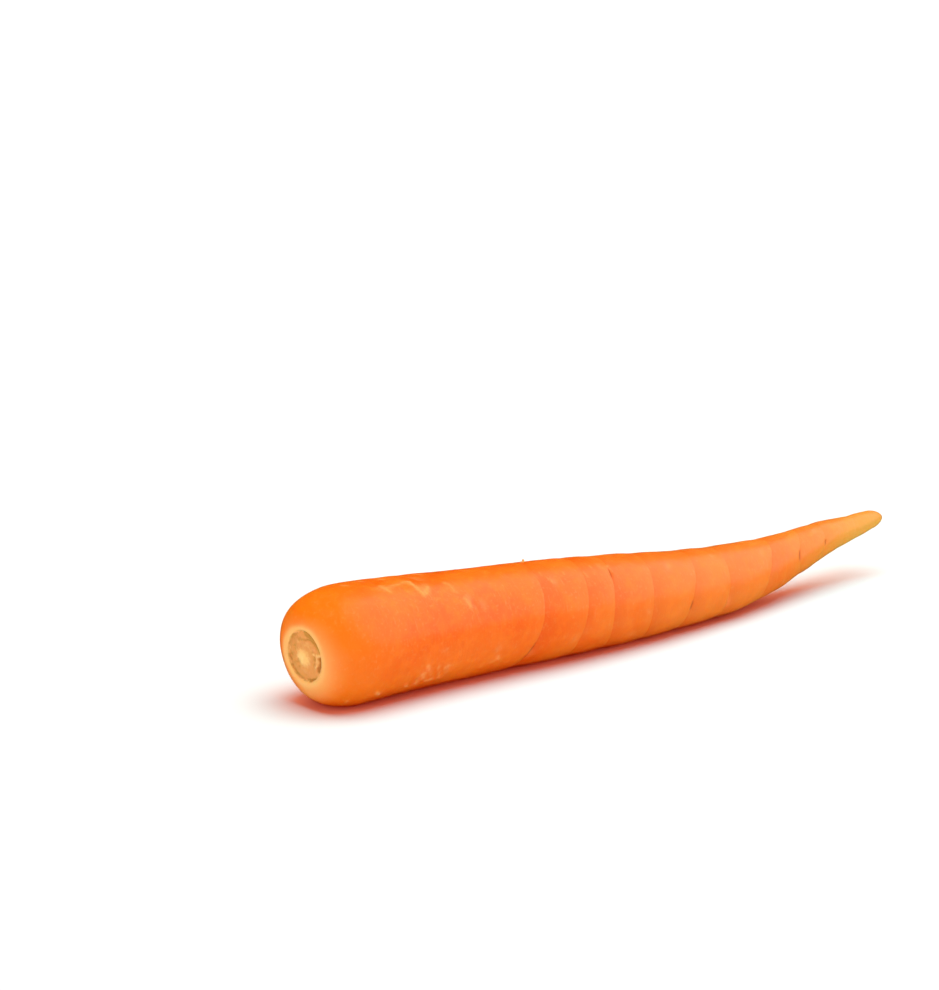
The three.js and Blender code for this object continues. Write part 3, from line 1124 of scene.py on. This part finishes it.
class CARROT_OT_root(bpy.types.Operator):
    """Build the root with its fine skin"""

    bl_idname = "carrot.root"
    bl_label = "Root"

    def execute(self, context):
        scene = context.scene
        material = skin_material(scene.carrot_colours, scene.carrot_skin)
        root = new_object("carrot_root", root_bmesh(scene.carrot_skin.sides), material)
        masks = shape_root(root.data, scene.carrot_skin.wrinkles)
        for name, values in masks.items():
            layer = root.data.attributes.new(name, "FLOAT", "POINT")
            layer.data.foreach_set("value", np.clip(values, 0, 1))
        root.data.update()
        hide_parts("carrot")
        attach(root, "root")
        return {"FINISHED"}


# ---- The hair roots ----


def add_rootlet(bm, foot, length, lean):
    """Adds one curled stub to a bmesh, at a point of the skin given as its place and its normal."""
    place, normal = foot
    reach = length + ROOTLET_SINK
    before = len(bm.verts)
    made = bmesh.ops.create_cone(
        bm,
        cap_ends=True,
        segments=ROOTLET_SIDES,
        radius1=ROOTLET_RADIUS,
        radius2=ROOTLET_END,
        depth=reach,
        matrix=Matrix.Translation((0, 0, reach / 2)),
    )
    edges = {edge for vert in made["verts"] for edge in vert.link_edges}
    sides = [edge for edge in edges if abs(edge.verts[0].co.z - edge.verts[1].co.z) > reach / 2]
    bmesh.ops.subdivide_edges(bm, edges=sides, cuts=ROOTLET_CUTS)
    verts = bm.verts[before:]
    for vert in verts:
        vert.co.x += ROOTLET_CURL * reach * (vert.co.z / reach) ** 2
    upright = normal.to_track_quat("Z", "X").to_matrix().to_4x4()
    turn = upright @ Matrix.Rotation(math.radians(lean), 4, "Y")
    start = Matrix.Translation(place - normal * ROOTLET_SINK * MM) @ turn @ Matrix.Scale(MM, 4)
    bmesh.ops.transform(bm, matrix=start, verts=verts)


class CARROT_OT_rootlets(bpy.types.Operator):
    """Build the stubs of the hair roots"""

    bl_idname = "carrot.rootlets"
    bl_label = "Hair roots"

    def execute(self, context):
        root = bpy.data.objects.get("carrot_root")
        if root is None:
            raise RuntimeError("the hair roots need the root")
        middle = Vector((*root.data["middle"], 0))
        bm = bmesh.new()
        for station, angle, length, lean in ROOTLETS:
            inside = (Vector(axis_point(np.float64(station))) - middle) * MM
            turned = math.radians(angle)
            outwards = Vector((0, math.cos(turned), math.sin(turned)))
            hit, place, normal, _ = root.ray_cast(inside, outwards)
            if not hit:
                raise RuntimeError("a hair root misses the root")
            add_rootlet(bm, (place, normal), length, lean)
        rootlets = new_object("carrot_rootlets", bm, root.data.materials[0])
        layer = rootlets.data.attributes.new("mark", "FLOAT", "POINT")
        layer.data.foreach_set("value", np.full(len(rootlets.data.vertices), ROOTLET_PALENESS))
        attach(rootlets, "root")
        return {"FINISHED"}


# ---- The stage ----

# Where each light comes from, and its spread in degrees.
SHEEN_DIRECTION = (0.63, -0.42, 0.62)
SHEEN_SPREAD = 84
KEY_DIRECTION = (0.1, 0.25, 0.96)
KEY_SPREAD = 70
FILL_DIRECTION = (-0.95, -0.25, 0.15)
FILL_SPREAD = 84
GROUND_DIRECTION = (0.15, -0.12, 0.95)
GROUND_SPREAD = 60
GROUND_COLOUR = (0, 0.51, 1)
FLOOR_GLOW = (0.07, 0, 0, 1)
FLOOR_ROUGHNESS = 0.9
SURROUND_COLOUR = (1, 0.93, 0.93, 1)
# The camera's angles in degrees, and its distance and aim in metres.
CAMERA_AZIMUTH = -40.42
CAMERA_ELEVATION = 13.55
CAMERA_DISTANCE = 0.9
CAMERA_AIM = (-0.0360, 0.0177, 0.0407)


class CARROT_OT_stage(bpy.types.Operator):
    """Build the floor, the lights and the camera"""

    bl_idname = "carrot.stage"
    bl_label = "Stage"

    def execute(self, context):
        scene = context.scene
        settings = scene.carrot_stage
        floor = self.make_floor(settings)
        self.make_light(scene, settings)
        self.make_ground_light(scene, settings, floor)
        self.make_camera(scene, settings)
        scene.view_settings.view_transform = "Standard"
        return {"FINISHED"}

    def make_floor(self, settings):
        """A reddish floor with a faint red glow, which the ground light turns white."""
        material = bpy.data.materials.new("floor")
        material.use_nodes = True
        shader = material.node_tree.nodes["Principled BSDF"]
        shader.inputs["Base Color"].default_value = tuple(settings.floor)
        shader.inputs["Roughness"].default_value = FLOOR_ROUGHNESS
        shader.inputs["Specular IOR Level"].default_value = 0
        shader.inputs["Emission Color"].default_value = FLOOR_GLOW
        shader.inputs["Emission Strength"].default_value = 1
        bm = bmesh.new()
        bmesh.ops.create_grid(bm, x_segments=1, y_segments=1, size=settings.floor_size / 2)
        floor = new_object("floor", bm, material)
        floor.visible_glossy = False
        return floor

    def make_light(self, scene, settings):
        world = bpy.data.worlds.new("surround")
        world.use_nodes = True
        background = world.node_tree.nodes["Background"]
        background.inputs["Color"].default_value = SURROUND_COLOUR
        background.inputs["Strength"].default_value = settings.surround
        scene.world = world
        world.cycles_visibility.glossy = False
        self.make_sun(scene, "sheen", settings.sheen, SHEEN_DIRECTION, SHEEN_SPREAD)
        key = self.make_sun(scene, "key", settings.key, KEY_DIRECTION, KEY_SPREAD)
        fill = self.make_sun(scene, "fill", settings.fill, FILL_DIRECTION, FILL_SPREAD)
        key.visible_glossy = fill.visible_glossy = False

    def make_ground_light(self, scene, settings, floor):
        """A light that reaches the floor alone, and leaves the root's shadow reddish."""
        lit = bpy.data.collections.new("ground")
        lit.objects.link(floor)
        light = self.make_sun(scene, "ground", settings.ground, GROUND_DIRECTION, GROUND_SPREAD)
        light.data.color = GROUND_COLOUR
        light.light_linking.receiver_collection = lit

    def make_sun(self, scene, name, strength, direction, spread):
        data = bpy.data.lights.new(name, "SUN")
        data.energy = strength
        data.angle = math.radians(spread)
        light = bpy.data.objects.new(name, data)
        light.location = Vector(direction)
        light.rotation_euler = (-light.location).to_track_quat("-Z", "Y").to_euler()
        scene.collection.objects.link(light)
        return light

    def make_camera(self, scene, settings):
        azimuth, elevation = math.radians(CAMERA_AZIMUTH), math.radians(CAMERA_ELEVATION)
        flat = math.cos(elevation)
        back = Vector((math.sin(azimuth) * flat, -math.cos(azimuth) * flat, math.sin(elevation)))
        data = bpy.data.cameras.new("camera")
        data.lens = settings.lens
        camera = bpy.data.objects.new("camera", data)
        camera.location = Vector(CAMERA_AIM) + back * CAMERA_DISTANCE
        camera.rotation_euler = (-back).to_track_quat("-Z", "Y").to_euler()
        scene.collection.objects.link(camera)
        scene.camera = camera


class CARROT_PT_panel(bpy.types.Panel):
    """The sidebar panel of the carrot"""

    bl_idname = "CARROT_PT_panel"
    bl_label = "Carrot"
    bl_space_type = "VIEW_3D"
    bl_region_type = "UI"
    bl_category = "Carrot"

    def draw(self, context):
        layout = self.layout
        for settings in SETTINGS:
            group = getattr(context.scene, settings)
            box = layout.box()
            for name in group.bl_rna.properties.keys():
                if name not in ("rna_type", "name"):
                    box.prop(group, name)
        for operator in OPERATORS:
            layout.operator(operator.bl_idname)


OPERATORS = (CARROT_OT_root, CARROT_OT_rootlets, CARROT_OT_stage)
SETTINGS = {
    "carrot_skin": CarrotSkinSettings,
    "carrot_colours": CarrotColourSettings,
    "carrot_stage": CarrotStageSettings,
}


def register():
    for cls in (*SETTINGS.values(), *OPERATORS, CARROT_PT_panel):
        bpy.utils.register_class(cls)
    for name, cls in SETTINGS.items():
        setattr(bpy.types.Scene, name, PointerProperty(type=cls))


def unregister():
    for name in SETTINGS:
        delattr(bpy.types.Scene, name)
    for cls in reversed((*SETTINGS.values(), *OPERATORS, CARROT_PT_panel)):
        bpy.utils.unregister_class(cls)


def main():
    register()
    bpy.ops.carrot.stage()
    bpy.ops.carrot.root()
    bpy.ops.carrot.rootlets()


if __name__ == "__main__":
    main()
